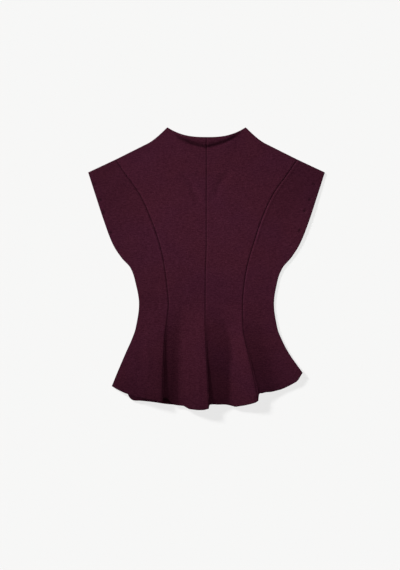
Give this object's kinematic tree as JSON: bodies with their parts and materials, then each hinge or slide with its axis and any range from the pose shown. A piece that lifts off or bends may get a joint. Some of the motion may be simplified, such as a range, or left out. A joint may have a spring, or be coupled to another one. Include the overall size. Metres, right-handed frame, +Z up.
{
  "type": "peplum top",
  "caption": "Knit peplum top with cap sleeves, a standing neck, princess seams and a flared hem, laid flat on its back.",
  "frame": {"origin": "on the surface that the top lies on, under the middle of its outline seen from above", "axes": "+Y from the hem towards the neck, +Z up out of the front of the top, +X to the right of someone who looks down at the front with the neck away from them"},
  "size_m": [0.5676, 0.6783, 0.0266],
  "materials": {
    "crepe_knit": "matte dark burgundy crepe double knit"
  },
  "bodies": {
    "root": {"centre_front_left": "crepe_knit", "centre_front_right": "crepe_knit", "side_front_left": "crepe_knit", "side_front_right": "crepe_knit", "centre_back_left": "crepe_knit", "centre_back_right": "crepe_knit", "side_back_left": "crepe_knit", "side_back_right": "crepe_knit"}
  },
  "joints": []
}
